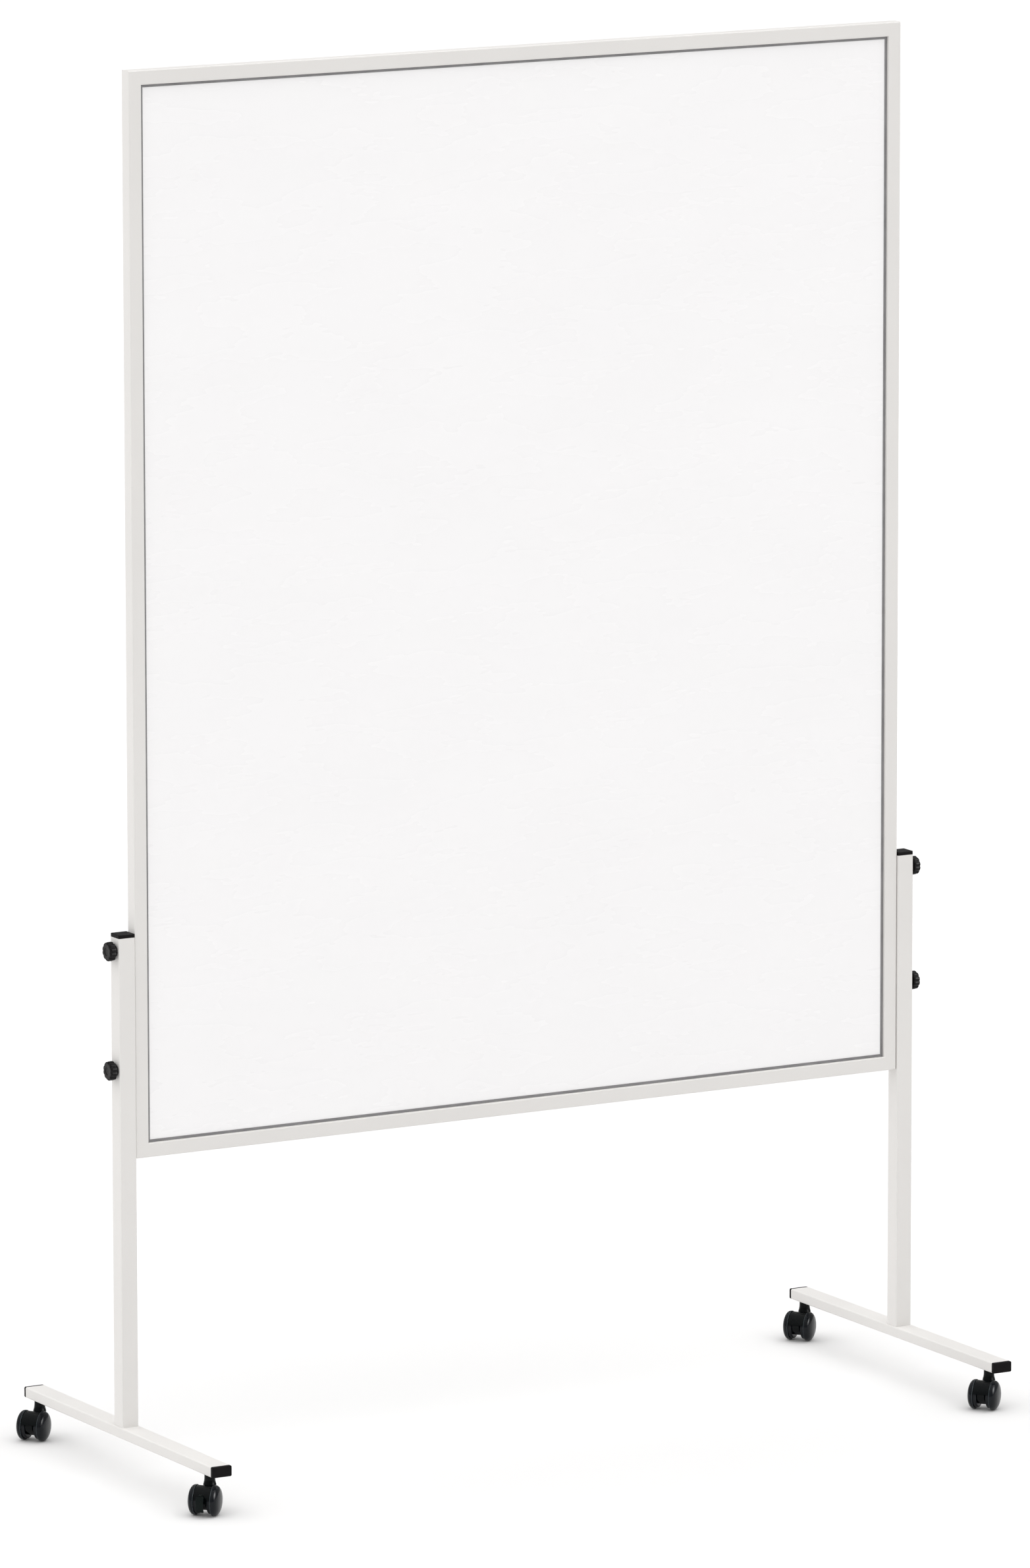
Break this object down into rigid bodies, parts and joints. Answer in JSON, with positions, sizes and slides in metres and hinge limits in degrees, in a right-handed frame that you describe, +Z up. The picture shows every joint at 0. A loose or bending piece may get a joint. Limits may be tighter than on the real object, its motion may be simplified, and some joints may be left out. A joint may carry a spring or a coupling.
{
  "type": "rolling whiteboard",
  "caption": "Double-sided magnetic whiteboard in a white tube frame, clamped by star knobs between two posts on T-feet with twin-wheel casters.",
  "frame": {"origin": "floor under the centre of the board, midway between the two posts and below the middle of the feet", "axes": "+X to the right of the front writing face, +Y to the back, +Z up"},
  "size_m": [1.3205, 0.5649, 1.946],
  "materials": {
    "white_powder_coat": "satin",
    "white_writing_enamel": "gloss",
    "honeycomb_board": "matte",
    "grey_trim": "satin",
    "black_moulding": "satin",
    "black_caster": "gloss",
    "zinc_steel": "satin"
  },
  "bodies": {
    "stand": {"caster_thread_inserts": "zinc_steel", "edge_channel_bottom": "grey_trim", "edge_channel_left": "grey_trim", "edge_channel_right": "grey_trim", "edge_channel_top": "grey_trim", "foot_bolts": "zinc_steel", "frame_bottom_rail": "white_powder_coat", "frame_left_stile": "white_powder_coat", "frame_right_stile": "white_powder_coat", "frame_thread_inserts": "zinc_steel", "frame_top_rail": "white_powder_coat", "front_left_caster_stem": "zinc_steel", "front_right_caster_stem": "zinc_steel", "front_writing_sheet": "white_writing_enamel", "left_foot_bar": "white_powder_coat", "left_foot_front_cap": "black_moulding", "left_foot_rear_cap": "black_moulding", "left_post": "white_powder_coat", "left_post_base_plug": "zinc_steel", "left_post_cap": "black_moulding", "panel_core": "honeycomb_board", "rear_left_caster_stem": "zinc_steel", "rear_right_caster_stem": "zinc_steel", "rear_writing_sheet": "white_writing_enamel", "right_foot_bar": "white_powder_coat", "right_foot_front_cap": "black_moulding", "right_foot_rear_cap": "black_moulding", "right_post": "white_powder_coat", "right_post_base_plug": "zinc_steel", "right_post_cap": "black_moulding"},
    "front_left_caster": {"front_left_caster_housing": "black_caster", "front_left_caster_axle": "zinc_steel"},
    "front_left_left_wheel": {"front_left_caster_left_wheel": "black_caster"},
    "front_left_right_wheel": {"front_left_caster_right_wheel": "black_caster"},
    "front_left_brake_pedal": {"front_left_caster_brake_pedal": "black_caster"},
    "rear_left_caster": {"rear_left_caster_housing": "black_caster", "rear_left_caster_axle": "zinc_steel"},
    "rear_left_left_wheel": {"rear_left_caster_left_wheel": "black_caster"},
    "rear_left_right_wheel": {"rear_left_caster_right_wheel": "black_caster"},
    "front_right_caster": {"front_right_caster_housing": "black_caster", "front_right_caster_axle": "zinc_steel"},
    "front_right_left_wheel": {"front_right_caster_left_wheel": "black_caster"},
    "front_right_right_wheel": {"front_right_caster_right_wheel": "black_caster"},
    "rear_right_caster": {"rear_right_caster_housing": "black_caster", "rear_right_caster_axle": "zinc_steel"},
    "rear_right_left_wheel": {"rear_right_caster_left_wheel": "black_caster"},
    "rear_right_right_wheel": {"rear_right_caster_right_wheel": "black_caster"},
    "left_lower_washer": {"left_lower_knob_washer": "zinc_steel"},
    "left_lower_knob": {"left_lower_knob": "black_moulding", "left_lower_knob_stud": "zinc_steel"},
    "left_upper_washer": {"left_upper_knob_washer": "zinc_steel"},
    "left_upper_knob": {"left_upper_knob": "black_moulding", "left_upper_knob_stud": "zinc_steel"},
    "right_lower_washer": {"right_lower_knob_washer": "zinc_steel"},
    "right_lower_knob": {"right_lower_knob": "black_moulding", "right_lower_knob_stud": "zinc_steel"},
    "right_upper_washer": {"right_upper_knob_washer": "zinc_steel"},
    "right_upper_knob": {"right_upper_knob": "black_moulding", "right_upper_knob_stud": "zinc_steel"}
  },
  "joints": [
    {"name": "front_left_swivel", "type": "hinge", "parent": "stand", "child": "front_left_caster", "pos_m": [-0.6255, -0.2432, 0.053], "axis": [0, 0, 1], "continuous": true},
    {"name": "front_left_left_wheel_roll", "type": "hinge", "parent": "front_left_caster", "child": "front_left_left_wheel", "pos_m": [-0.6308, -0.26901, 0.021], "axis": [0.7071, -0.7071, 0], "continuous": true},
    {"name": "front_left_right_wheel_roll", "type": "hinge", "parent": "front_left_caster", "child": "front_left_right_wheel", "pos_m": [-0.65131, -0.2485, 0.021], "axis": [0.7071, -0.7071, 0], "continuous": true},
    {"name": "front_left_brake_pedal_press", "type": "hinge", "parent": "front_left_caster", "child": "front_left_brake_pedal", "pos_m": [-0.64728, -0.26498, 0.0298], "axis": [0.7071, -0.7071, 0], "range_deg": [0, 10]},
    {"name": "rear_left_swivel", "type": "hinge", "parent": "stand", "child": "rear_left_caster", "pos_m": [-0.6255, 0.2612, 0.053], "axis": [0, 0, 1], "continuous": true},
    {"name": "rear_left_left_wheel_roll", "type": "hinge", "parent": "rear_left_caster", "child": "rear_left_left_wheel", "pos_m": [-0.63303, 0.23595, 0.021], "axis": [0.6428, -0.766, 0], "continuous": true},
    {"name": "rear_left_right_wheel_roll", "type": "hinge", "parent": "rear_left_caster", "child": "rear_left_right_wheel", "pos_m": [-0.65167, 0.25817, 0.021], "axis": [0.6428, -0.766, 0], "continuous": true},
    {"name": "front_right_swivel", "type": "hinge", "parent": "stand", "child": "front_right_caster", "pos_m": [0.6255, -0.2432, 0.053], "axis": [0, 0, 1], "continuous": true},
    {"name": "front_right_left_wheel_roll", "type": "hinge", "parent": "front_right_caster", "child": "front_right_left_wheel", "pos_m": [0.61841, -0.26858, 0.021], "axis": [0.6561, -0.7547, 0], "continuous": true},
    {"name": "front_right_right_wheel_roll", "type": "hinge", "parent": "front_right_caster", "child": "front_right_right_wheel", "pos_m": [0.59938, -0.24669, 0.021], "axis": [0.6561, -0.7547, 0], "continuous": true},
    {"name": "rear_right_swivel", "type": "hinge", "parent": "stand", "child": "rear_right_caster", "pos_m": [0.6255, 0.2612, 0.053], "axis": [0, 0, 1], "continuous": true},
    {"name": "rear_right_left_wheel_roll", "type": "hinge", "parent": "rear_right_caster", "child": "rear_right_left_wheel", "pos_m": [0.61797, 0.23595, 0.021], "axis": [0.6428, -0.766, 0], "continuous": true},
    {"name": "rear_right_right_wheel_roll", "type": "hinge", "parent": "rear_right_caster", "child": "rear_right_right_wheel", "pos_m": [0.59933, 0.25817, 0.021], "axis": [0.6428, -0.766, 0], "continuous": true},
    {"name": "left_lower_knob_travel", "type": "slide", "parent": "stand", "child": "left_lower_washer", "axis": [-1, 0, 0], "range_m": [0, 0.003]},
    {"name": "left_lower_knob_turn", "type": "hinge", "parent": "left_lower_washer", "child": "left_lower_knob", "pos_m": [-0.6393, 0, 0.571], "axis": [-1, 0, 0], "range_deg": [0, 1080]},
    {"name": "left_upper_knob_travel", "type": "slide", "parent": "stand", "child": "left_upper_washer", "axis": [-1, 0, 0], "range_m": [0, 0.003]},
    {"name": "left_upper_knob_turn", "type": "hinge", "parent": "left_upper_washer", "child": "left_upper_knob", "pos_m": [-0.6393, 0, 0.7375], "axis": [-1, 0, 0], "range_deg": [0, 1080]},
    {"name": "right_lower_knob_travel", "type": "slide", "parent": "stand", "child": "right_lower_washer", "axis": [1, 0, 0], "range_m": [0, 0.003]},
    {"name": "right_lower_knob_turn", "type": "hinge", "parent": "right_lower_washer", "child": "right_lower_knob", "pos_m": [0.6393, 0, 0.571], "axis": [1, 0, 0], "range_deg": [0, 1080]},
    {"name": "right_upper_knob_travel", "type": "slide", "parent": "stand", "child": "right_upper_washer", "axis": [1, 0, 0], "range_m": [0, 0.003]},
    {"name": "right_upper_knob_turn", "type": "hinge", "parent": "right_upper_washer", "child": "right_upper_knob", "pos_m": [0.6393, 0, 0.7375], "axis": [1, 0, 0], "range_deg": [0, 1080]}
  ],
  "couplings": [
    {"joint": "left_lower_knob_turn", "follows": "left_lower_knob_travel", "rad_per_m": 6283.1},
    {"joint": "left_upper_knob_turn", "follows": "left_upper_knob_travel", "rad_per_m": 6283.1},
    {"joint": "right_lower_knob_turn", "follows": "right_lower_knob_travel", "rad_per_m": 6283.1},
    {"joint": "right_upper_knob_turn", "follows": "right_upper_knob_travel", "rad_per_m": 6283.1}
  ]
}
